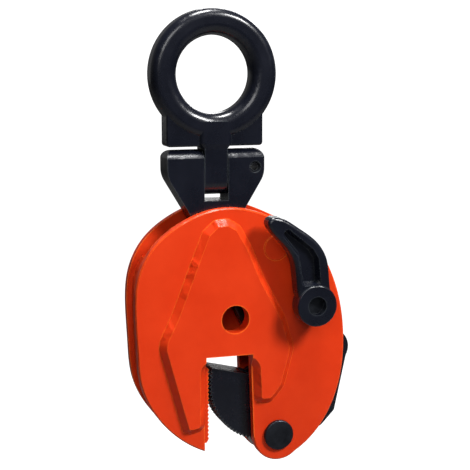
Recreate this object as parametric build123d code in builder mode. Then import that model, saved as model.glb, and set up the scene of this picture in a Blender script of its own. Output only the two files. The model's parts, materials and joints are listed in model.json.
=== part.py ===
from build123d import *
import os
from math import atan2, cos, degrees, hypot, radians, sin

os.makedirs("parts", exist_ok=True)

# Plate lifting clamp, in millimetres. X is to the right, Y goes away from the front, Z is up.
# The origin is the centre of the lifting eye's bore, and the clamp hangs from that bore.
# A point in the plane of the cheeks is written (x, z).

# Running clearance on a radius, and the gap between faces of pieces that move past each other
fit = 0.05
gap = 0.4

# Lifting eye: a ring, a flat block under it, and a tongue that hangs in the shackle's slot
eye_bore_r = 21.6
eye_outer_r = 36.4
eye_half_y = 8.2
eye_round_inside = 6.5
eye_round_outside = 5.0
block_half_x = 28.0
block_half_y = 6.5
block_bottom_z = -40.0
block_top_z = -16.5
boss_half_x = 10.0
boss_half_y = 8.4
boss_round = 4.0
tongue_half_x = 6.6
tongue_half_y = 8.0
tongue_end_z = -67.5

# Shackle: a forked plate. Its rounded top is a barrel about the hinge of the eye.
hinge_z = -52.0
hinge_pin_r = 5.5
hinge_pin_half_x = 26.5
barrel_r = 10.2
shackle_half_x = 28.2
shackle_half_y = 8.5
shackle_shoulder_z = -56.5
shackle_waist = (11.0, -85.0)
slot_half_x = 7.0
slot_floor_z = -70.5
hinge_roll_x = 22.8
hinge_roll_r = 3.3

# Cheeks: two plates that hold the rest between them, each with a raised pad on its outside
inner_y = 9.0
cheek_t = 5.0
outer_y = inner_y + cheek_t
pad_rise = 4.0
rear_rise = 1.5
pad_y = outer_y + pad_rise
mouth_left_x = -9.0
mouth_right_top_x = 18.6
mouth_right_low_x = 20.6
mouth_top_z = -158.3
centre_hole = (8.2, -137.3)
centre_hole_r = 8.1
spacer_at = (33.8, -98.1)
spacer_r = 7.3

# Pivots of the cam, the link and the lever, all along Y
cam_pivot = (35.5, -208.5)
link_low = (39.0, -176.0)
link_top = (0.0, -98.0)
tail_centre = (70.5, -160.5)
spring_post_at = (22.0, -110.0)
spring_post_r = 3.0
lever_at = (52.3, -129.6)
pivot_r = 7.5
pivot_head_r = 8.8
pivot_head_t = 2.2
bush_r = 9.5
clip_front_y = outer_y + gap
clip_back_y = clip_front_y + 1.2
link_pin_r = 5.0
shaft_r = 6.0

# Jaws
jaw_face_x = -4.9
jaw_back_x = -12.4
jaw_half_y = 8.4
jaw_top_z = -166.0
jaw_low_z = -211.3
jaw_tooth_pitch = 2.4
jaw_tooth_depth = 0.7
jaw_screw_zs = (-178.0, -199.0)
jaw_screw_r = 3.0
jaw_screw_grip = 12.0
jaw_head_r = 4.8
jaw_head_t = 3.4
jaw_head_sink = 4.6
cam_half_y = 7.6
cam_centre = (31.6, -177.6)
cam_r = 36.1
cam_tooth_depth = 1.6
cam_tooth_count = 23
cam_tooth_from = 167.0
cam_tooth_to = 253.0
cam_hub_r = 14.5
cam_boss_r = 11.0
fork_half_y = 4.3

# Link between the shackle and the cam
link_half_y = 4.0
link_eye_r = 9.5
link_bar_half = 5.5

# Lock lever on the front, and its crank and spring inside
lever_hub_r = 11.8
lever_neck_r = 8.5
lever_back_y = -22.5
lever_front_y = -31.0
lever_hub_front_y = -32.0
lever_hole_r = 5.4
lever_channel_depth = 4.0
shaft_front_y = -27.0
crank_reach = 12.0
crank_angle = 207.1
crank_t = 3.8
crank_hub_r = 8.0
crank_pin_r = 2.4
crank_hub_back_y = -0.8
spring_r = 3.5
spring_wire = 1.4
lever_pin_y = -19.0
crank_key_y = -2.8
cross_pin_r = 1.5


def polar(centre, radius, angle):
    return (centre[0] + radius * cos(radians(angle)), centre[1] + radius * sin(radians(angle)))


def along(start, end):
    dx = end[0] - start[0]
    dz = end[1] - start[1]
    return hypot(dx, dz), degrees(atan2(dz, dx))


def front_plane(y):
    # The XZ plane at this y: its x is X, its y is Z, and an extrusion goes towards the front
    return Plane.XZ.offset(-y)


def rod(at, radius, y_front, y_back, mode=Mode.ADD):
    # A round bar along Y at a point of the cheeks' plane
    with BuildSketch(front_plane(y_back)) as section:
        with Locations(at):
            Circle(radius)
    extrude(section.sketch, amount=y_back - y_front, mode=mode)


crank_at = polar(lever_at, crank_reach, crank_angle)


# Lifting eye. The block is cleared from the bore before the ring is added.
with BuildPart() as lifting_eye:
    with BuildSketch(front_plane(block_half_y)):
        with Locations((0, (block_bottom_z + block_top_z) / 2)):
            Rectangle(2 * block_half_x, block_top_z - block_bottom_z)
    extrude(amount=2 * block_half_y)
    fillet(lifting_eye.edges().filter_by(Axis.Y).group_by(Axis.Z)[0], radius=2.0)
    fillet(lifting_eye.faces().sort_by(Axis.Z)[0].edges(), radius=1.2)
    rod((0, 0), eye_bore_r + eye_round_inside, -block_half_y, block_half_y, Mode.SUBTRACT)
    with BuildSketch(Plane.XY):
        with Locations(((eye_bore_r + eye_outer_r) / 2, 0)):
            Rectangle(eye_outer_r - eye_bore_r, 2 * eye_half_y)
        corners = vertices().sort_by(Axis.X)
        fillet(corners[:2], radius=eye_round_inside)
        fillet(vertices().sort_by(Axis.X)[-2:], radius=eye_round_outside)
    revolve(axis=Axis.Y)
    with BuildSketch(Plane.XY.offset(-38.5)):
        RectangleRounded(2 * boss_half_x, 2 * boss_half_y, boss_round)
    extrude(amount=12.5)
    with BuildSketch(Plane.XY.offset(-38.5)):
        RectangleRounded(2 * boss_half_x, 2 * boss_half_y, boss_round)
    with BuildSketch(Plane.XY.offset(-41.6)):
        RectangleRounded(2 * tongue_half_x, 2 * tongue_half_y, 1.0)
    loft()
    with BuildSketch(Plane.YZ.offset(-tongue_half_x)):
        with BuildLine():
            Line((tongue_half_y, -36), (-tongue_half_y, -36))
            Line((-tongue_half_y, -36), (-tongue_half_y, tongue_end_z + tongue_half_y))
            ThreePointArc(
                (-tongue_half_y, tongue_end_z + tongue_half_y),
                (0, tongue_end_z),
                (tongue_half_y, tongue_end_z + tongue_half_y),
            )
            Line((tongue_half_y, tongue_end_z + tongue_half_y), (tongue_half_y, -36))
        make_face()
    extrude(amount=2 * tongue_half_x)
    with BuildSketch(Plane.YZ.offset(-tongue_half_x - 1)):
        with Locations((0, hinge_z)):
            Circle(hinge_pin_r + fit)
    extrude(amount=2 * tongue_half_x + 2, mode=Mode.SUBTRACT)
lifting_eye.part.label = "lifting_eye"
export_step(lifting_eye.part, "parts/lifting_eye.step")


# Shackle. The outline is trimmed by its side profile, which gives the barrel top.
with BuildPart() as shackle:
    with BuildSketch(front_plane(shackle_half_y)):
        with BuildLine():
            Polyline(
                (shackle_half_x, hinge_z + barrel_r),
                (-shackle_half_x, hinge_z + barrel_r),
                (-shackle_half_x, shackle_shoulder_z),
                (-shackle_waist[0], shackle_waist[1]),
                (-shackle_waist[0], link_top[1]),
                (shackle_waist[0], link_top[1]),
                (shackle_waist[0], shackle_waist[1]),
                (shackle_half_x, shackle_shoulder_z),
                close=True,
            )
        shackle_face = make_face()
        fillet(shackle_face.vertices().group_by(Axis.Y)[-1], radius=4.5)
        with Locations(link_top):
            Circle(shackle_waist[0])
    extrude(amount=2 * shackle_half_y)
    shoulder_edges = shackle.edges().filter_by(Axis.Y).filter_by_position(
        Axis.Z, shackle_shoulder_z - 0.5, shackle_shoulder_z + 0.5
    )
    fillet(shoulder_edges, radius=14.0)
    with BuildSketch(Plane.YZ.offset(-shackle_half_x - 1)):
        with Locations((0, hinge_z)):
            Circle(barrel_r)
        with Locations((0, hinge_z)):
            Rectangle(2 * barrel_r, 80, align=(Align.CENTER, Align.MAX))
    extrude(amount=2 * shackle_half_x + 2, mode=Mode.INTERSECT)
    with BuildSketch(front_plane(shackle_half_y)):
        with Locations((0, slot_floor_z / 2)):
            Rectangle(2 * slot_half_x, -slot_floor_z)
    extrude(amount=2 * shackle_half_y, mode=Mode.SUBTRACT)
    with BuildSketch(Plane.XY.offset(link_top[1] + link_eye_r + 2)):
        Rectangle(3 * shackle_half_x, 2 * fork_half_y)
    extrude(amount=-40, mode=Mode.SUBTRACT)
    with BuildSketch(Plane.YZ.offset(-hinge_pin_half_x)):
        with Locations((0, hinge_z)):
            Circle(hinge_pin_r)
    extrude(amount=2 * hinge_pin_half_x, mode=Mode.SUBTRACT)
    rod((hinge_roll_x, hinge_z), hinge_roll_r, -shackle_half_y, shackle_half_y, Mode.SUBTRACT)
    rod(link_top, link_pin_r, -shackle_half_y, shackle_half_y, Mode.SUBTRACT)
shackle.part.label = "shackle"
export_step(shackle.part, "parts/shackle.step")


# Hinge pin of the eye, cross-drilled at its right end for the roll pin
with BuildPart() as hinge_pin:
    with BuildSketch(Plane.YZ.offset(-hinge_pin_half_x)):
        with Locations((0, hinge_z)):
            Circle(hinge_pin_r)
    extrude(amount=2 * hinge_pin_half_x)
    chamfer(hinge_pin.edges().filter_by(GeomType.CIRCLE), length=0.8)
    rod((hinge_roll_x, hinge_z), hinge_roll_r, -shackle_half_y, shackle_half_y, Mode.SUBTRACT)
hinge_pin.part.label = "hinge_pin"
export_step(hinge_pin.part, "parts/hinge_pin.step")


def roll_pin(at, radius, y_front, y_back):
    # A slotted spring pin along Y: a tube with a slit down its side
    with BuildPart() as pin:
        rod(at, radius, y_front, y_back)
        rod(at, 0.6 * radius, y_front, y_back, Mode.SUBTRACT)
        with BuildSketch(front_plane(y_back)) as slit:
            with Locations((at[0] - radius, at[1])):
                Rectangle(1.4 * radius, 0.3 * radius)
        extrude(slit.sketch, amount=y_back - y_front, mode=Mode.SUBTRACT)
    return pin


hinge_roll_pin = roll_pin((hinge_roll_x, hinge_z), hinge_roll_r, -7.0, 7.0)
hinge_roll_pin.part.label = "hinge_roll_pin"
export_step(hinge_roll_pin.part, "parts/hinge_roll_pin.step")


# Link: one forged bar with an eye at each end, in the forks of the shackle and the cam
link_length, link_tilt = along(link_top, link_low)
with BuildPart() as link:
    with BuildSketch(front_plane(link_half_y)):
        middle = ((link_top[0] + link_low[0]) / 2, (link_top[1] + link_low[1]) / 2)
        with Locations(Location(middle, link_tilt)):
            Rectangle(link_length, 2 * link_bar_half)
        with Locations(link_top, link_low):
            Circle(link_eye_r)
    extrude(amount=2 * link_half_y)
    inner_corners = link.edges().filter_by(Axis.Y).filter_by(GeomType.LINE)
    fillet(inner_corners, radius=6.0)
    outer_edges = link.edges().group_by(Axis.Y)[0] + link.edges().group_by(Axis.Y)[-1]
    fillet(outer_edges, radius=1.0)
    rod(link_top, link_pin_r + fit, -link_half_y, link_half_y, Mode.SUBTRACT)
    rod(link_low, link_pin_r + fit, -link_half_y, link_half_y, Mode.SUBTRACT)
link.part.label = "link"
export_step(link.part, "parts/link.step")


# Link pins: plain headless pins, kept in place by the cheeks either side
for name, at, half_y in (("link_top_pin", link_top, 8.3), ("link_low_pin", link_low, 7.5)):
    with BuildPart() as link_pin:
        rod(at, link_pin_r, -half_y, half_y)
        chamfer(link_pin.edges().filter_by(GeomType.CIRCLE), length=0.6)
    link_pin.part.label = name
    export_step(link_pin.part, "parts/" + name + ".step")


# Cam: a toothed arc that is off-centre from its pivot, a fork for the link, and a tail on the
# right that swings out as the jaws open. Each tooth leans towards the plate's weight.
tail_normal = along(link_low, tail_centre)[1] + 90
link_turn = along(link_low, link_top)[1]
tooth_step = (cam_tooth_to - cam_tooth_from) / cam_tooth_count
cam_outline = [(-2.6, -167.4)]
for i in range(cam_tooth_count):
    tooth_angle = cam_tooth_from + i * tooth_step
    cam_outline.append(polar(cam_centre, cam_r, tooth_angle))
    cam_outline.append(polar(cam_centre, cam_r - cam_tooth_depth, tooth_angle + 0.3 * tooth_step))
cam_outline.append(polar(cam_centre, cam_r, cam_tooth_to))
cam_outline.append(cam_pivot)
cam_outline.append((65.0, -207.4))
cam_outline.append((73.0, -199.0))
cam_outline.append(polar(tail_centre, cam_boss_r, 5))
cam_outline.append(polar(tail_centre, cam_boss_r, tail_normal))
cam_outline.append(polar(link_low, cam_boss_r, tail_normal))
cam_outline.append((30.5, -168.5))
cam_outline.append((21.5, -173.2))

with BuildPart() as cam_segment:
    with BuildSketch(front_plane(cam_half_y)):
        with BuildLine():
            Polyline(*cam_outline, close=True)
        make_face()
        with Locations(link_low, tail_centre):
            Circle(cam_boss_r)
        with Locations(cam_pivot):
            Circle(cam_hub_r)
        with BuildLine():
            Polyline(
                polar(cam_pivot, cam_hub_r, 270),
                (65.0, -207.4),
                cam_pivot,
                close=True,
            )
        make_face()
    extrude(amount=2 * cam_half_y)
    tail_corners = cam_segment.edges().filter_by(Axis.Y).filter_by_position(Axis.X, 64, 74)
    tail_corners = tail_corners.filter_by_position(Axis.Z, -209, -197)
    fillet(tail_corners, radius=3.0)
    with BuildSketch(front_plane(fork_half_y)):
        with Locations(link_low):
            Circle(link_eye_r + 1.1)
        with BuildLine():
            Polyline(
                polar(link_low, link_bar_half + 0.8, link_turn - 90),
                polar(polar(link_low, link_bar_half + 0.8, link_turn - 90), 40, link_turn),
                polar(polar(link_low, link_bar_half + 0.8, link_turn + 128), 40, link_turn + 38),
                polar(link_low, link_bar_half + 0.8, link_turn + 128),
                close=True,
            )
        make_face()
    extrude(amount=2 * fork_half_y, mode=Mode.SUBTRACT)
    rod(cam_pivot, bush_r, -cam_half_y, cam_half_y, Mode.SUBTRACT)
    rod(link_low, link_pin_r, -cam_half_y, cam_half_y, Mode.SUBTRACT)
cam_segment.part.label = "cam_segment"
export_step(cam_segment.part, "parts/cam_segment.step")


with BuildPart() as cam_bush:
    rod(cam_pivot, bush_r, -cam_half_y, cam_half_y)
    rod(cam_pivot, pivot_r + fit, -cam_half_y, cam_half_y, Mode.SUBTRACT)
cam_bush.part.label = "cam_bush"
export_step(cam_bush.part, "parts/cam_bush.step")


with BuildPart() as thrust_washers:
    for side in (-1, 1):
        low_y, high_y = sorted((side * (cam_half_y + 0.15), side * inner_y))
        rod(cam_pivot, bush_r + 3, low_y, high_y)
        rod(cam_pivot, pivot_r, low_y, high_y, Mode.SUBTRACT)
thrust_washers.part.label = "thrust_washers"
export_step(thrust_washers.part, "parts/thrust_washers.step")


with BuildPart() as spring_post:
    rod(spring_post_at, spring_post_r, -inner_y, inner_y)
spring_post.part.label = "spring_post"
export_step(spring_post.part, "parts/spring_post.step")


# Cheeks. The outline and the pad are the same on both; the rear cheek is the mirror image and
# has no centre hole.
def cheek_outline(rise):
    # Closed straight across the mouth, which is cut afterwards. The rise lifts the top of it.
    ThreePointArc((mouth_right_low_x, -209.5), (35.2, -223.9), (46.2, -219.7))
    Spline(
        (46.2, -219.7),
        (61.9, -205.3),
        (72.6, -183.0),
        (76.0, -158.0),
        (74.2, -135.5),
        (66.2, -110.5 + 0.5 * rise),
        (54.6, -93.8 + 0.8 * rise),
        (36.2, -82.5 + rise),
        (13.8, -74.8 + rise),
        (-3.0, -74.9 + rise),
        (-23.8, -83.0 + rise),
        (-38.4, -95.0 + 0.8 * rise),
        (-46.8, -111.3 + 0.5 * rise),
        (-48.7, -128.0),
        (-47.7, -152.0),
        (-45.7, -172.5),
        (-32.0, -197.8),
        (-7.0, -215.2),
    )
    Line((-7.0, -215.2), (mouth_right_low_x, -209.5))


def pad_outline():
    Polyline(
        (-14.4, -98.0),
        (-28.0, -133.0),
        (-36.2, -150.0),
        (-21.5, -204.0),
        (mouth_left_x, -201.5),
        (mouth_left_x, mouth_top_z - 4.6),
        (19.6, mouth_top_z - 4.6),
        (20.8, -188.6),
        (31.0, -188.6),
        (38.6, -179.5),
        (44.8, -157.0),
        (39.0, -138.0),
        (26.0, -114.0),
        (18.5, -96.0),
        (11.5, -84.0),
        (5.0, -80.0),
        (-3.0, -80.5),
        (-9.8, -86.5),
        close=True,
    )


def cheek(rise):
    # As the front cheek. Its plate is drawn first, then its pad, then the mouth is cut in both.
    with BuildPart() as plate:
        with BuildSketch(front_plane(-inner_y)):
            with BuildLine():
                cheek_outline(rise)
            make_face()
        extrude(amount=cheek_t)
        chamfer(plate.faces().sort_by(Axis.Y)[0].edges(), length=0.7)
        with BuildSketch(front_plane(-outer_y)):
            with BuildLine():
                pad_outline()
            pad_face = make_face()
            fillet(pad_face.vertices().sort_by(Axis.X)[0], radius=14.0)
            fillet(vertices().sort_by(Axis.X)[-1], radius=14.0)
            fillet(vertices().sort_by(Axis.X)[2:-2], radius=5.0)
        extrude(amount=pad_rise)
        pad_top = plate.faces().sort_by(Axis.Y)[0]
        chamfer(pad_top.edges(), length=3.6)
        with BuildSketch(front_plane(-inner_y)):
            with BuildLine():
                Polyline(
                    (mouth_left_x, -230),
                    (mouth_left_x, mouth_top_z),
                    (mouth_right_top_x, mouth_top_z),
                    (mouth_right_low_x, -209.5),
                    (mouth_right_low_x, -230),
                    close=True,
                )
            make_face()
        extrude(amount=cheek_t + pad_rise, mode=Mode.SUBTRACT)
        rod(cam_pivot, pivot_r, -outer_y, -inner_y, Mode.SUBTRACT)
        rod(spacer_at, spacer_r, -outer_y, -inner_y, Mode.SUBTRACT)
        rod(lever_at, shaft_r + fit, -outer_y, -inner_y, Mode.SUBTRACT)
    return plate


with BuildPart() as front_cheek:
    add(cheek(0).part)
    rod(centre_hole, centre_hole_r, -pad_y, -inner_y, Mode.SUBTRACT)
front_cheek.part.label = "front_cheek"
export_step(front_cheek.part, "parts/front_cheek.step")

with BuildPart() as rear_cheek:
    mirror(cheek(rear_rise).part, about=Plane.XZ)
rear_cheek.part.label = "rear_cheek"
export_step(rear_cheek.part, "parts/rear_cheek.step")


# Jaw block: the wall between the cheeks along the left edge, a few millimetres inside it. It
# widens into the solid leg behind the fixed jaw.
with BuildPart() as jaw_block:
    with BuildSketch(front_plane(inner_y)):
        with BuildLine():
            Line((-34.0, -103.5), (-39.5, -102.5))
            Spline(
                (-39.5, -102.5),
                (-44.2, -113.5),
                (-45.6, -128.0),
                (-44.7, -152.0),
                (-43.0, -171.5),
                (-30.6, -194.3),
                (-16.0, -206.5),
            )
            Line((-16.0, -206.5), (jaw_back_x, -208.5))
            Line((jaw_back_x, -208.5), (jaw_back_x, -163.0))
            Line((jaw_back_x, -163.0), (-25.0, -152.0))
            ThreePointArc((-25.0, -152.0), (-35.2, -127.0), (-34.0, -103.5))
        make_face()
    extrude(amount=2 * inner_y)
    for z in jaw_screw_zs:
        with BuildSketch(Plane.YZ.offset(jaw_back_x)) as screw_hole:
            with Locations((0, z)):
                Circle(jaw_screw_r)
        extrude(screw_hole.sketch, amount=-jaw_screw_grip, mode=Mode.SUBTRACT)
jaw_block.part.label = "jaw_block"
export_step(jaw_block.part, "parts/jaw_block.step")


# Fixed jaw: a pad with cross teeth on its face, sunk for its two screws
jaw_tooth_count = int((jaw_top_z - jaw_low_z - 2) / jaw_tooth_pitch)
with BuildPart() as fixed_jaw:
    with BuildSketch(front_plane(jaw_half_y)):
        with BuildLine():
            jaw_outline = [(jaw_back_x, jaw_top_z), (jaw_face_x - 1.5, jaw_top_z)]
            for i in range(jaw_tooth_count):
                tooth_z = jaw_top_z - 1 - i * jaw_tooth_pitch
                jaw_outline.append((jaw_face_x, tooth_z - 0.3 * jaw_tooth_pitch))
                jaw_outline.append((jaw_face_x - jaw_tooth_depth, tooth_z - jaw_tooth_pitch))
            jaw_outline.append((jaw_face_x - 1.5, jaw_low_z))
            jaw_outline.append((jaw_back_x, jaw_low_z))
            Polyline(*jaw_outline, close=True)
        make_face()
    extrude(amount=2 * jaw_half_y)
    for z in jaw_screw_zs:
        for radius, depth in ((jaw_head_r + 0.4, jaw_head_sink), (jaw_screw_r, 20)):
            with BuildSketch(Plane.YZ.offset(jaw_face_x)) as screw_seat:
                with Locations((0, z)):
                    Circle(radius)
            extrude(screw_seat.sketch, amount=-depth, mode=Mode.SUBTRACT)
fixed_jaw.part.label = "fixed_jaw"
export_step(fixed_jaw.part, "parts/fixed_jaw.step")


with BuildPart() as jaw_screws:
    for z in jaw_screw_zs:
        head_x = jaw_face_x - jaw_head_sink
        with BuildSketch(Plane.YZ.offset(head_x)) as head:
            with Locations((0, z)):
                Circle(jaw_head_r)
        extrude(head.sketch, amount=jaw_head_t)
        with BuildSketch(Plane.YZ.offset(jaw_back_x - jaw_screw_grip)) as shank:
            with Locations((0, z)):
                Circle(jaw_screw_r)
        extrude(shank.sketch, amount=head_x - jaw_back_x + jaw_screw_grip)
        with BuildSketch(Plane.YZ.offset(head_x + jaw_head_t)) as socket:
            with Locations((0, z)):
                RegularPolygon(2.9, 6)
        extrude(socket.sketch, amount=-2, mode=Mode.SUBTRACT)
jaw_screws.part.label = "jaw_screws"
export_step(jaw_screws.part, "parts/jaw_screws.step")


with BuildPart() as upper_spacer:
    rod(spacer_at, spacer_r, -outer_y, outer_y)
    chamfer(upper_spacer.edges().filter_by(GeomType.CIRCLE), length=0.5)
upper_spacer.part.label = "upper_spacer"
export_step(upper_spacer.part, "parts/upper_spacer.step")


def circlip(at, radius, y_front, y_back):
    # A retaining ring in a groove, open at the bottom
    with BuildPart() as ring:
        rod(at, radius + 2.2, y_front, y_back)
        rod(at, radius - 0.8, y_front, y_back, Mode.SUBTRACT)
        with BuildSketch(front_plane(y_back)) as mouth:
            with Locations((at[0], at[1] - radius)):
                Rectangle(radius, 2 * radius)
        extrude(mouth.sketch, amount=y_back - y_front, mode=Mode.SUBTRACT)
    return ring


def groove(at, radius, y_front, y_back):
    # The groove of a retaining ring, cut into a rod
    with BuildSketch(front_plane(y_back)) as section:
        with Locations(at):
            Circle(radius + 1)
            Circle(radius - 0.8, mode=Mode.SUBTRACT)
    extrude(section.sketch, amount=y_back - y_front, mode=Mode.SUBTRACT)


# Cam pivot pin, with its round head on the front and a retaining ring behind
with BuildPart() as cam_pivot_pin:
    rod(cam_pivot, pivot_r, -outer_y, clip_back_y + 1.2)
    chamfer(cam_pivot_pin.faces().sort_by(Axis.Y)[-1].edges(), length=0.8)
    rod(cam_pivot, pivot_head_r, -outer_y - pivot_head_t, -outer_y)
    fillet(cam_pivot_pin.faces().sort_by(Axis.Y)[0].edges(), radius=0.8)
    groove(cam_pivot, pivot_r, clip_front_y, clip_back_y)
cam_pivot_pin.part.label = "cam_pivot_pin"
export_step(cam_pivot_pin.part, "parts/cam_pivot_pin.step")

pivot_clip = circlip(cam_pivot, pivot_r, clip_front_y, clip_back_y)
pivot_clip.part.label = "pivot_clip"
export_step(pivot_clip.part, "parts/pivot_clip.step")


# Lever shaft, through both cheeks. Its front end is set back inside the lever's hub.
with BuildPart() as lever_shaft:
    rod(lever_at, shaft_r, shaft_front_y, clip_back_y + 1.2)
    chamfer(lever_shaft.edges().filter_by(GeomType.CIRCLE), length=0.6)
    groove(lever_at, shaft_r, clip_front_y, clip_back_y)
    with BuildSketch(Plane.YZ.offset(lever_at[0] - shaft_r)):
        with Locations((lever_pin_y, lever_at[1]), (crank_key_y, lever_at[1])):
            Circle(cross_pin_r)
    extrude(amount=2 * shaft_r, mode=Mode.SUBTRACT)
lever_shaft.part.label = "lever_shaft"
export_step(lever_shaft.part, "parts/lever_shaft.step")

shaft_clip = circlip(lever_at, shaft_r, clip_front_y, clip_back_y)
shaft_clip.part.label = "shaft_clip"
export_step(shaft_clip.part, "parts/shaft_clip.step")

for name, y, reach in (
    ("lever_cross_pin", lever_pin_y, lever_neck_r - 0.4),
    ("crank_cross_pin", crank_key_y, crank_hub_r - 0.3),
):
    with BuildPart() as cross_pin:
        with BuildSketch(Plane.YZ.offset(lever_at[0] - reach)):
            with Locations((y, lever_at[1])):
                Circle(cross_pin_r)
        extrude(amount=2 * reach)
    cross_pin.part.label = name
    export_step(cross_pin.part, "parts/" + name + ".step")


# Lock lever: a hub on a neck, and an arm that bends over to the left with a channel in its front
def lever_arm():
    # Outline of the arm, from inside the hub, round its tip and back
    Spline(
        (41.6, -125.0),
        (40.2, -117.0),
        (38.0, -103.0),
        (34.6, -96.6),
        (24.4, -84.8),
        (23.2, -81.0),
        (25.4, -78.4),
        (29.6, -78.3),
        (40.6, -84.2),
        (53.0, -93.8),
        (58.4, -103.0),
        (60.0, -114.0),
        (61.8, -125.0),
    )
    Line((61.8, -125.0), (41.6, -125.0))


with BuildPart() as lock_lever:
    with BuildSketch(front_plane(lever_back_y)):
        with BuildLine():
            lever_arm()
        make_face()
    extrude(amount=lever_back_y - lever_front_y)
    fillet(lock_lever.faces().sort_by(Axis.Y)[0].edges(), radius=2.2)
    with BuildSketch(front_plane(lever_front_y)):
        with BuildLine():
            Polyline(
                (54.6, -117.8),
                (53.2, -102.4),
                (49.6, -96.6),
                (34.4, -84.4),
                (31.0, -88.0),
                (40.6, -100.4),
                (43.6, -117.8),
                close=True,
            )
        channel = make_face()
        fillet(channel.vertices(), radius=1.8)
    extrude(amount=-lever_channel_depth, taper=25, mode=Mode.SUBTRACT)
    rod(lever_at, lever_hub_r, lever_hub_front_y, lever_back_y)
    fillet(lock_lever.faces().sort_by(Axis.Y)[0].edges(), radius=0.8)
    rod(lever_at, lever_neck_r, lever_back_y, -outer_y - gap)
    rod(lever_at, shaft_r, shaft_front_y, -outer_y, Mode.SUBTRACT)
    rod(lever_at, lever_hole_r, lever_hub_front_y, shaft_front_y, Mode.SUBTRACT)
    with BuildSketch(Plane.YZ.offset(lever_at[0] - lever_neck_r)):
        with Locations((lever_pin_y, lever_at[1])):
            Circle(cross_pin_r)
    extrude(amount=2 * lever_neck_r, mode=Mode.SUBTRACT)
lock_lever.part.label = "lock_lever"
export_step(lock_lever.part, "parts/lock_lever.step")


# Lock crank: an arm on the shaft between the cheeks, in front of the spring
crank_front_y = -inner_y + gap
with BuildPart() as lock_crank:
    rod(lever_at, crank_hub_r, crank_front_y, crank_hub_back_y)
    with BuildSketch(front_plane(crank_front_y + crank_t)):
        with Locations(crank_at):
            Circle(2 * crank_pin_r)
        with Locations(Location(polar(lever_at, crank_reach / 2, crank_angle), crank_angle)):
            Rectangle(crank_reach, 4 * crank_pin_r)
    extrude(amount=crank_t)
    rod(lever_at, shaft_r, crank_front_y, crank_hub_back_y, Mode.SUBTRACT)
    rod(crank_at, crank_pin_r, crank_front_y, crank_hub_back_y, Mode.SUBTRACT)
    with BuildSketch(Plane.YZ.offset(lever_at[0] - crank_hub_r)):
        with Locations((crank_key_y, lever_at[1])):
            Circle(cross_pin_r)
    extrude(amount=2 * crank_hub_r, mode=Mode.SUBTRACT)
lock_crank.part.label = "lock_crank"
export_step(lock_crank.part, "parts/lock_crank.step")

with BuildPart() as crank_pin:
    rod(crank_at, crank_pin_r, crank_front_y, spring_r + 1.6)
    rod(crank_at, crank_pin_r + 1.4, spring_r + 0.3, spring_r + 1.6)
crank_pin.part.label = "crank_pin"
export_step(crank_pin.part, "parts/crank_pin.step")


# Lock spring: the coil's body as a tube, with an eye at each end, one round its post and one
# round the crank's pin. It pushes the crank over centre.
spring_span, spring_tilt = along(spring_post_at, crank_at)
spring_axis = Plane(
    origin=(spring_post_at[0], 0, spring_post_at[1]),
    z_dir=(cos(radians(spring_tilt)), 0, sin(radians(spring_tilt))),
)
with BuildPart() as lock_spring:
    with BuildSketch(spring_axis.offset(spring_post_r + spring_wire / 2)):
        Circle(spring_r)
        Circle(spring_r - spring_wire, mode=Mode.SUBTRACT)
    extrude(amount=spring_span - spring_post_r - crank_pin_r - spring_wire)
    for eye, pin_r in ((spring_post_at, spring_post_r), (crank_at, crank_pin_r)):
        with BuildSketch(Plane.XY.offset(eye[1])) as wire:
            with Locations((eye[0] + pin_r + 0.2 + spring_wire / 2, 0)):
                Circle(spring_wire / 2)
        revolve(wire.sketch, axis=Axis((eye[0], 0, eye[1]), (0, 1, 0)))
lock_spring.part.label = "lock_spring"
export_step(lock_spring.part, "parts/lock_spring.step")
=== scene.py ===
import json
import math

import bpy
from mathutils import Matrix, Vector


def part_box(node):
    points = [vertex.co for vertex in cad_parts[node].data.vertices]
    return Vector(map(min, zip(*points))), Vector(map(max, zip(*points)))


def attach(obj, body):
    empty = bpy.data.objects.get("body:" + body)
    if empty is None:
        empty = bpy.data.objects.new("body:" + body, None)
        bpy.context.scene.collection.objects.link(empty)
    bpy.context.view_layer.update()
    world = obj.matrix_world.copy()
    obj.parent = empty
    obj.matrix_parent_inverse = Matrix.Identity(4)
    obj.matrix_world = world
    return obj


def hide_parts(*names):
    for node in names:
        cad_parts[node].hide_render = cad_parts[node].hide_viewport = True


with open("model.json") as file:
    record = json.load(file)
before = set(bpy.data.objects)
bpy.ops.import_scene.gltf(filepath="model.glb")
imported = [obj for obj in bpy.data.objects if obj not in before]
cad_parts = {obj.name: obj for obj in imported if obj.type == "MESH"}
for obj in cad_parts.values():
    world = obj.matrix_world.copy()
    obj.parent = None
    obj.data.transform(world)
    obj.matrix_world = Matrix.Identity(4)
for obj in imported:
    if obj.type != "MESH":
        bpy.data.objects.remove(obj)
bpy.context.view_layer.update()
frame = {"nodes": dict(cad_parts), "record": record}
nodes = frame["nodes"]
print("frame loaded")


# Camera, a little to the left of the front and a little above the eye's bore
cameraView = {
    "place": (-0.1912, -0.6491, 0.0160),
    "turn": -17.5,
    "height": 9.0,
    "lens": 91.9,
    "clipStart": 0.01,
    "clipEnd": 20,
}

turn = math.radians(cameraView["turn"])
height = math.radians(cameraView["height"])
back = Vector((
    math.sin(turn) * math.cos(height),
    -math.cos(turn) * math.cos(height),
    math.sin(height),
))
cameraData = bpy.data.cameras.new("camera")
cameraData.lens = cameraView["lens"]
cameraData.clip_start = cameraView["clipStart"]
cameraData.clip_end = cameraView["clipEnd"]
camera = bpy.data.objects.new("camera", cameraData)
camera.location = cameraView["place"]
camera.rotation_mode = "QUATERNION"
camera.rotation_quaternion = (-back).to_track_quat("-Z", "Y")
bpy.context.scene.collection.objects.link(camera)
bpy.context.scene.camera = camera
print("camera placed")


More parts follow.
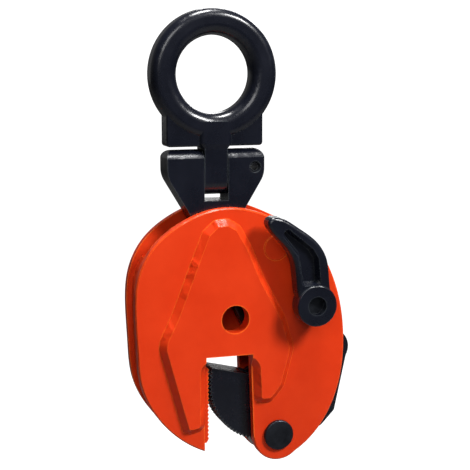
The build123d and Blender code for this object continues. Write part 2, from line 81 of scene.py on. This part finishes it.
# Studio: four soft lights. The room and the floor show white to the camera, and to everything else
# they are dim, so that the black paint doesn't mirror them.
studio = {
    "roomColour": (1.0, 1.0, 1.0),
    "seenStrength": 1.25,
    "backStrength": 0.16,
    "frontStrength": 0.05,
    "fadeStart": -0.3,
    "fadeEnd": 1.0,
    "floorColour": (0.20, 0.20, 0.20),
    "floorRoughness": 0.9,
    "floorGlow": 1.1,
    "floorHeight": -0.60,
    "floorSize": 14.0,
    "lightsAimAt": (0.01, 0, -0.10),
    "lights": {
        "keyLight": {"place": (0.66, -0.85, 0.72), "size": 0.36, "watts": 20.0},
        "fillLight": {"place": (-0.35, -1.00, 0.45), "size": 0.5, "watts": 3.6},
        "topLight": {"place": (0.05, -0.12, 0.95), "size": 0.35, "watts": 15.0},
        "backLight": {"place": (0.45, 0.90, 0.45), "size": 0.6, "watts": 5.0},
    },
}


def aimAt(thing, target):
    direction = Vector(target) - thing.location
    thing.rotation_euler = direction.to_track_quat("-Z", "Y").to_euler()


def addNode(tree, kind, **settings):
    node = tree.nodes.new(kind)
    for name, value in settings.items():
        setattr(node, name, value)
    return node


def makeRoom(values):
    world = bpy.data.worlds.new("room")
    world.use_nodes = True
    tree = world.node_tree
    background = tree.nodes["Background"]
    background.inputs["Color"].default_value = (*values["roomColour"], 1)
    coords = addNode(tree, "ShaderNodeTexCoord")
    split = addNode(tree, "ShaderNodeSeparateXYZ")
    fade = addNode(tree, "ShaderNodeMapRange", interpolation_type="SMOOTHSTEP")
    fade.inputs["From Min"].default_value = values["fadeStart"]
    fade.inputs["From Max"].default_value = values["fadeEnd"]
    fade.inputs["To Min"].default_value = values["frontStrength"]
    fade.inputs["To Max"].default_value = values["backStrength"]
    path = addNode(tree, "ShaderNodeLightPath")
    choice = addNode(tree, "ShaderNodeMix", data_type="FLOAT")
    choice.inputs[3].default_value = values["seenStrength"]
    tree.links.new(coords.outputs["Generated"], split.inputs["Vector"])
    tree.links.new(split.outputs["Y"], fade.inputs["Value"])
    tree.links.new(path.outputs["Is Camera Ray"], choice.inputs["Factor"])
    tree.links.new(fade.outputs["Result"], choice.inputs[2])
    tree.links.new(choice.outputs[0], background.inputs["Strength"])
    bpy.context.scene.world = world


def makeLights(values):
    for name, light in values["lights"].items():
        data = bpy.data.lights.new(name, "AREA")
        data.shape = "DISK"
        data.size = light["size"]
        data.energy = light["watts"]
        lamp = bpy.data.objects.new(name, data)
        lamp.location = light["place"]
        bpy.context.scene.collection.objects.link(lamp)
        aimAt(lamp, values["lightsAimAt"])


def makeFloor(values):
    half = values["floorSize"] / 2
    corners = [(-half, -half), (half, -half), (half, half), (-half, half)]
    mesh = bpy.data.meshes.new("floor")
    mesh.from_pydata([(x, y, values["floorHeight"]) for x, y in corners], [], [(0, 1, 2, 3)])
    floor = bpy.data.objects.new("floor", mesh)
    bpy.context.scene.collection.objects.link(floor)
    paper = bpy.data.materials.new("floorPaper")
    paper.use_nodes = True
    tree = paper.node_tree
    shader = tree.nodes["Principled BSDF"]
    shader.inputs["Base Color"].default_value = (*values["floorColour"], 1)
    shader.inputs["Roughness"].default_value = values["floorRoughness"]
    shader.inputs["Emission Color"].default_value = (*values["roomColour"], 1)
    path = addNode(tree, "ShaderNodeLightPath")
    glow = addNode(tree, "ShaderNodeMath", operation="MULTIPLY")
    glow.inputs[1].default_value = values["floorGlow"]
    tree.links.new(path.outputs["Is Camera Ray"], glow.inputs[0])
    tree.links.new(glow.outputs["Value"], shader.inputs["Emission Strength"])
    mesh.materials.append(paper)


makeRoom(studio)
makeLights(studio)
makeFloor(studio)
bpy.context.scene.view_settings.view_transform = "Standard"
print("studio ready")


# Shared effects: edge wear lightened with a painted highlight, mottled tone, cast skin and tool
# marks. Scales are per metre.
effectValues = {
    "edgeWidth": 0.0008,
    "edgeGain": 9.0,
    "edgeBreakUp": 0.5,
    "edgeSamples": 6,
    "edgeNoise": 260.0,
    "mottleScale": 60.0,
    "mottleContrast": 1.0,
    "mottleRoughness": 0.62,
    "grainScale": 900.0,
    "grain": 0.06,
    "grainHeight": 0.0006,
    "dentScale": 190.0,
    "dents": 0.4,
    "dentHeight": 0.0022,
    "flatFrom": 0.985,
    "slopedFrom": 0.93,
    "patchScale": 55.0,
    "patchStart": 0.44,
    "patchEnd": 0.60,
    "markScale": 900.0,
    "markDepth": 0.15,
    "markHeight": 0.0004,
    "markStretch": (1.0, 0.06, 1.0),
}


def newGroup(name, inputs, outputs):
    group = bpy.data.node_groups.new(name, "ShaderNodeTree")
    for label, value in inputs.items():
        socket = group.interface.new_socket(
            name=label,
            in_out="INPUT",
            socket_type="NodeSocketFloat",
        )
        socket.default_value = value
    for label, kind in outputs.items():
        group.interface.new_socket(name=label, in_out="OUTPUT", socket_type=kind)
    return group, group.nodes.new("NodeGroupInput"), group.nodes.new("NodeGroupOutput")


def addMath(tree, operation, first, second, clamp=False):
    node = addNode(tree, "ShaderNodeMath", operation=operation, use_clamp=clamp)
    for socket, value in zip(node.inputs, (first, second)):
        if isinstance(value, (int, float)):
            socket.default_value = value
        else:
            tree.links.new(value, socket)
    return node.outputs["Value"]


def addNoise(tree, scale, detail, roughness=0.55):
    coords = addNode(tree, "ShaderNodeTexCoord")
    noise = addNode(tree, "ShaderNodeTexNoise")
    noise.inputs["Detail"].default_value = detail
    noise.inputs["Roughness"].default_value = roughness
    tree.links.new(coords.outputs["Object"], noise.inputs["Vector"])
    if isinstance(scale, (int, float)):
        noise.inputs["Scale"].default_value = scale
    else:
        tree.links.new(scale, noise.inputs["Scale"])
    return noise.outputs["Fac"]


# Edge mask from the bevel normal. The colour it mixes in is partly edge wear and partly a painted
# highlight along every sharp edge.
def makeWornHighlightEdgeGroup(values):
    group, given, result = newGroup(
        "wornEdgesPaintedHighlight",
        {
            "Width": values["edgeWidth"],
            "Gain": values["edgeGain"],
            "Break Up": values["edgeBreakUp"],
        },
        {"Mask": "NodeSocketFloat"},
    )
    bevel = addNode(group, "ShaderNodeBevel", samples=values["edgeSamples"])
    geometry = addNode(group, "ShaderNodeNewGeometry")
    dot = addNode(group, "ShaderNodeVectorMath", operation="DOT_PRODUCT")
    group.links.new(given.outputs["Width"], bevel.inputs["Radius"])
    group.links.new(bevel.outputs["Normal"], dot.inputs[0])
    group.links.new(geometry.outputs["Normal"], dot.inputs[1])
    turned = addMath(group, "SUBTRACT", 1.0, dot.outputs["Value"])
    strong = addMath(group, "MULTIPLY", turned, given.outputs["Gain"])
    noise = addNoise(group, values["edgeNoise"], detail=5.0)
    broken = addMath(group, "MULTIPLY", noise, given.outputs["Break Up"])
    mask = addMath(group, "SUBTRACT", strong, broken, clamp=True)
    group.links.new(mask, result.inputs["Mask"])
    return group


def makeMottleGroup(values):
    group, given, result = newGroup(
        "mottledTone",
        {"Scale": values["mottleScale"], "Contrast": values["mottleContrast"]},
        {"Value": "NodeSocketFloat"},
    )
    noise = addNoise(group, given.outputs["Scale"], detail=6.0, roughness=values["mottleRoughness"])
    centred = addMath(group, "SUBTRACT", noise, 0.5)
    spread = addMath(group, "MULTIPLY", centred, given.outputs["Contrast"])
    value = addMath(group, "ADD", spread, 0.5, clamp=True)
    group.links.new(value, result.inputs["Value"])
    return group


def makeSkinGroup(values):
    # Fine grain everywhere, and shallow dents on whatever doesn't face straight front or back
    group, given, result = newGroup(
        "castSkin",
        {
            "Grain Scale": values["grainScale"],
            "Grain": values["grain"],
            "Dent Scale": values["dentScale"],
            "Dents": values["dents"],
        },
        {"Normal": "NodeSocketVector"},
    )
    geometry = addNode(group, "ShaderNodeNewGeometry")
    turned = addNode(
        group,
        "ShaderNodeVectorTransform",
        vector_type="NORMAL",
        convert_from="WORLD",
        convert_to="OBJECT",
    )
    split = addNode(group, "ShaderNodeSeparateXYZ")
    group.links.new(geometry.outputs["Normal"], turned.inputs["Vector"])
    group.links.new(turned.outputs["Vector"], split.inputs["Vector"])
    facing = addMath(group, "ABSOLUTE", split.outputs["Y"], 0.0)
    slope = addNode(group, "ShaderNodeMapRange")
    slope.inputs["From Min"].default_value = values["flatFrom"]
    slope.inputs["From Max"].default_value = values["slopedFrom"]
    group.links.new(facing, slope.inputs["Value"])
    patches = addNode(group, "ShaderNodeMapRange")
    patches.inputs["From Min"].default_value = values["patchStart"]
    patches.inputs["From Max"].default_value = values["patchEnd"]
    group.links.new(addNoise(group, values["patchScale"], detail=2.0), patches.inputs["Value"])
    where = addMath(group, "MULTIPLY", slope.outputs["Result"], patches.outputs["Result"])
    dentNoise = addNoise(group, given.outputs["Dent Scale"], detail=3.0)
    dents = addNode(group, "ShaderNodeBump")
    dents.inputs["Distance"].default_value = values["dentHeight"]
    group.links.new(given.outputs["Dents"], dents.inputs["Strength"])
    group.links.new(addMath(group, "MULTIPLY", dentNoise, where), dents.inputs["Height"])
    grain = addNode(group, "ShaderNodeBump")
    grain.inputs["Distance"].default_value = values["grainHeight"]
    group.links.new(given.outputs["Grain"], grain.inputs["Strength"])
    grainNoise = addNoise(group, given.outputs["Grain Scale"], detail=3.0)
    group.links.new(grainNoise, grain.inputs["Height"])
    group.links.new(dents.outputs["Normal"], grain.inputs["Normal"])
    group.links.new(grain.outputs["Normal"], result.inputs["Normal"])
    return group


def makeMarkGroup(values):
    # Tool marks, stretched along the clamp's depth
    group, given, result = newGroup(
        "toolMarks",
        {"Scale": values["markScale"], "Depth": values["markDepth"]},
        {"Value": "NodeSocketFloat", "Normal": "NodeSocketVector"},
    )
    coords = addNode(group, "ShaderNodeTexCoord")
    stretch = addNode(group, "ShaderNodeMapping")
    stretch.inputs["Scale"].default_value = values["markStretch"]
    noise = addNode(group, "ShaderNodeTexNoise")
    noise.inputs["Detail"].default_value = 4.0
    bump = addNode(group, "ShaderNodeBump")
    bump.inputs["Distance"].default_value = values["markHeight"]
    group.links.new(coords.outputs["Object"], stretch.inputs["Vector"])
    group.links.new(stretch.outputs["Vector"], noise.inputs["Vector"])
    group.links.new(given.outputs["Scale"], noise.inputs["Scale"])
    group.links.new(noise.outputs["Fac"], bump.inputs["Height"])
    group.links.new(given.outputs["Depth"], bump.inputs["Strength"])
    group.links.new(noise.outputs["Fac"], result.inputs["Value"])
    group.links.new(bump.outputs["Normal"], result.inputs["Normal"])
    return group


effects = {
    "edgeWearAndHighlight": makeWornHighlightEdgeGroup(effectValues),
    "mottle": makeMottleGroup(effectValues),
    "skin": makeSkinGroup(effectValues),
    "marks": makeMarkGroup(effectValues),
}
print("shared effects ready")


def useEffect(tree, name, **values):
    node = addNode(tree, "ShaderNodeGroup", node_tree=effects[name])
    for label, value in values.items():
        node.inputs[label.replace("_", " ")].default_value = value
    return node


def mixColours(tree, factor, first, second):
    mix = addNode(tree, "ShaderNodeMix", data_type="RGBA")
    tree.links.new(factor, mix.inputs["Factor"])
    for socket, value in ((mix.inputs[6], first), (mix.inputs[7], second)):
        if isinstance(value, tuple):
            socket.default_value = (*value, 1)
        else:
            tree.links.new(value, socket)
    return mix.outputs[2]


def spreadValue(tree, factor, low, high):
    spread = addNode(tree, "ShaderNodeMapRange")
    spread.inputs["To Min"].default_value = low
    spread.inputs["To Max"].default_value = high
    tree.links.new(factor, spread.inputs["Value"])
    return spread.outputs["Result"]


# Painted castings
paints = {
    "orange_paint": {
        "colour": (0.76, 0.046, 0.006),
        "deepColour": (0.66, 0.034, 0.005),
        # Yellow-orange edge colour: a painted highlight where lamp light would catch the bevels and
        # rims.
        "edgeWearHighlightColour": (0.97, 0.16, 0.018),
        "edgeWidth": 0.0015,
        "edgeBreakUp": 0.95,
        "mottleScale": 38.0,
        "mottleContrast": 1.8,
        "roughness": (0.30, 0.44),
        "coat": 0.12,
        "coatRoughness": 0.16,
        "shine": 0.22,
        "grain": 0.07,
        "dents": 0.5,
    },
    "black_paint": {
        "colour": (0.0055, 0.0068, 0.0135),
        "deepColour": (0.0036, 0.0044, 0.0085),
        # Lighter grey edge colour: a painted highlight on the black paint, with a little edge wear.
        "edgeWearHighlightColour": (0.05, 0.058, 0.065),
        "edgeWidth": 0.0008,
        "edgeBreakUp": 0.9,
        "mottleScale": 55.0,
        "mottleContrast": 1.8,
        "roughness": (0.22, 0.34),
        "coat": 0.35,
        "coatRoughness": 0.16,
        "shine": 0.35,
        "grain": 0.05,
        "dents": 0.22,
    },
}


def startMaterial(name, values):
    # A new material with its mottled colour and its edges lightened, partly as wear and partly as a
    # painted highlight. Also gives back its tree, shader and mottle.
    material = bpy.data.materials.new(name + "Finish")
    material.use_nodes = True
    tree = material.node_tree
    shader = tree.nodes["Principled BSDF"]
    mottle = useEffect(
        tree,
        "mottle",
        Scale=values["mottleScale"],
        Contrast=values["mottleContrast"],
    ).outputs["Value"]
    edgeWearAndHighlight = useEffect(tree, "edgeWearAndHighlight", Width=values["edgeWidth"], Break_Up=values["edgeBreakUp"])
    toned = mixColours(tree, mottle, values["deepColour"], values["colour"])
    # Edges take the lighter edge colour: a painted highlight along with edge wear.
    colour = mixColours(tree, edgeWearAndHighlight.outputs["Mask"], toned, values["edgeWearHighlightColour"])
    tree.links.new(colour, shader.inputs["Base Color"])
    return material, tree, shader, mottle


def makePaint(name, values):
    material, tree, shader, mottle = startMaterial(name, values)
    skin = useEffect(tree, "skin", Grain=values["grain"], Dents=values["dents"])
    tree.links.new(spreadValue(tree, mottle, *values["roughness"]), shader.inputs["Roughness"])
    tree.links.new(skin.outputs["Normal"], shader.inputs["Normal"])
    shader.inputs["Specular IOR Level"].default_value = values["shine"]
    shader.inputs["Coat Weight"].default_value = values["coat"]
    shader.inputs["Coat Roughness"].default_value = values["coatRoughness"]
    return material


# Bare and blackened steel, and bronze
# Each metal's lighter edge colour is partly edge wear and partly a painted highlight.
metals = {
    "dark_steel": {
        "colour": (0.050, 0.056, 0.070),
        "deepColour": (0.018, 0.020, 0.026),
        "edgeWearHighlightColour": (0.32, 0.34, 0.36),
        "metallic": 0.85,
        "roughness": (0.24, 0.42),
        "markScale": 700.0,
        "markDepth": 0.12,
    },
    "bare_steel": {
        "colour": (0.46, 0.46, 0.45),
        "deepColour": (0.26, 0.26, 0.25),
        "edgeWearHighlightColour": (0.66, 0.66, 0.65),
        "metallic": 1.0,
        "roughness": (0.22, 0.40),
        "markScale": 1100.0,
        "markDepth": 0.18,
    },
    "spring_steel": {
        "colour": (0.24, 0.25, 0.28),
        "deepColour": (0.10, 0.10, 0.12),
        "edgeWearHighlightColour": (0.50, 0.51, 0.53),
        "metallic": 1.0,
        "roughness": (0.20, 0.34),
        "markScale": 1500.0,
        "markDepth": 0.08,
    },
    "bronze": {
        "colour": (0.55, 0.33, 0.13),
        "deepColour": (0.34, 0.18, 0.06),
        "edgeWearHighlightColour": (0.80, 0.55, 0.28),
        "metallic": 1.0,
        "roughness": (0.24, 0.42),
        "markScale": 900.0,
        "markDepth": 0.14,
    },
}


# Mottle and edge settings for the metals; the edge part feeds the painted highlight as well as edge
# wear.
metalWearAndEdgeHighlight = {
    "mottleScale": 140.0,
    "mottleContrast": 2.2,
    "edgeWidth": 0.0005,
    "edgeBreakUp": 0.6,
}


def makeMetal(name, values):
    material, tree, shader, _ = startMaterial(name, {**metalWearAndEdgeHighlight, **values})
    marks = useEffect(tree, "marks", Scale=values["markScale"], Depth=values["markDepth"])
    roughness = spreadValue(tree, marks.outputs["Value"], *values["roughness"])
    tree.links.new(roughness, shader.inputs["Roughness"])
    tree.links.new(marks.outputs["Normal"], shader.inputs["Normal"])
    shader.inputs["Metallic"].default_value = values["metallic"]
    return material


materials = {name: makePaint(name, values) for name, values in paints.items()}
materials.update({name: makeMetal(name, values) for name, values in metals.items()})
slotOf = {entry["node"]: entry["material_slot"] for entry in frame["record"]["subparts"]}
for name, node in nodes.items():
    for slot in node.material_slots:
        slot.material = materials[slotOf[name]]
print("materials ready")


# A round tube along a path, with its ends closed
def sweepTube(name, path, radius, sides):
    points = []
    side = None
    for index, here in enumerate(path):
        before = path[max(index - 1, 0)]
        after = path[min(index + 1, len(path) - 1)]
        along = (after - before).normalized()
        if side is None:
            side = along.orthogonal()
        side = (side - along * side.dot(along)).normalized()
        across = along.cross(side)
        for step in range(sides):
            angle = 2 * math.pi * step / sides
            points.append(here + radius * (math.cos(angle) * side + math.sin(angle) * across))
    faces = [tuple(reversed(range(sides)))]
    for ring in range(len(path) - 1):
        low = ring * sides
        for step in range(sides):
            following = (step + 1) % sides
            faces.append((low + step, low + following, low + sides + following, low + sides + step))
    last = (len(path) - 1) * sides
    faces.append(tuple(range(last, last + sides)))
    mesh = bpy.data.meshes.new(name)
    mesh.from_pydata([tuple(point) for point in points], [], faces)
    for polygon in mesh.polygons:
        polygon.use_smooth = len(polygon.vertices) == 4
    tube = bpy.data.objects.new(name, mesh)
    bpy.context.scene.collection.objects.link(tube)
    return tube


def middleOf(node):
    low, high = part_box(node)
    return Vector([(a + b) / 2 for a, b in zip(low, high)])


# Lock spring, coiled between its post and the crank's pin, with a hook at each end
lockCoil = {
    "wireRadius": 0.0007,
    "coilRadius": 0.0028,
    "turns": 12.5,
    "postHookRadius": 0.0039,
    "pinHookRadius": 0.0033,
    "hookGap": 0.0012,
    "hookOpening": 40.0,
    "hookSteps": 22,
    "turnSteps": 18,
    "sides": 10,
}


def makeLockCoil(values):
    post = middleOf("spring_post")
    pin = middleOf("crank_pin")
    post.y = pin.y = 0
    reach = pin - post
    along = reach.normalized()
    depth = Vector((0, 1, 0))
    across = along.cross(depth)
    opening = math.radians(values["hookOpening"])
    sweep = 2 * math.pi - 2 * opening
    path = []
    for step in range(values["hookSteps"]):
        angle = opening + sweep * step / values["hookSteps"]
        direction = math.cos(angle) * along + math.sin(angle) * across
        path.append(post + values["postHookRadius"] * direction)
    coilStart = values["postHookRadius"] + values["hookGap"]
    coilEnd = reach.length - values["pinHookRadius"] - values["hookGap"]
    steps = int(values["turns"] * values["turnSteps"])
    for step in range(steps + 1):
        share = step / steps
        angle = math.pi + 2 * math.pi * values["turns"] * share
        offset = values["coilRadius"] * (math.cos(angle) * across + math.sin(angle) * depth)
        path.append(post + along * (coilStart + (coilEnd - coilStart) * share) + offset)
    for step in range(1, values["hookSteps"] + 1):
        angle = opening + sweep * step / values["hookSteps"]
        direction = -math.cos(angle) * along + math.sin(angle) * across
        path.append(pin + values["pinHookRadius"] * direction)
    coil = sweepTube("lockCoil", path, values["wireRadius"], values["sides"])
    coil.data.materials.append(materials["spring_steel"])
    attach(coil, "spring")
    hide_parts("lock_spring")


makeLockCoil(lockCoil)
print("lock spring coiled")


bpy.context.view_layer.update()
print("scene built")
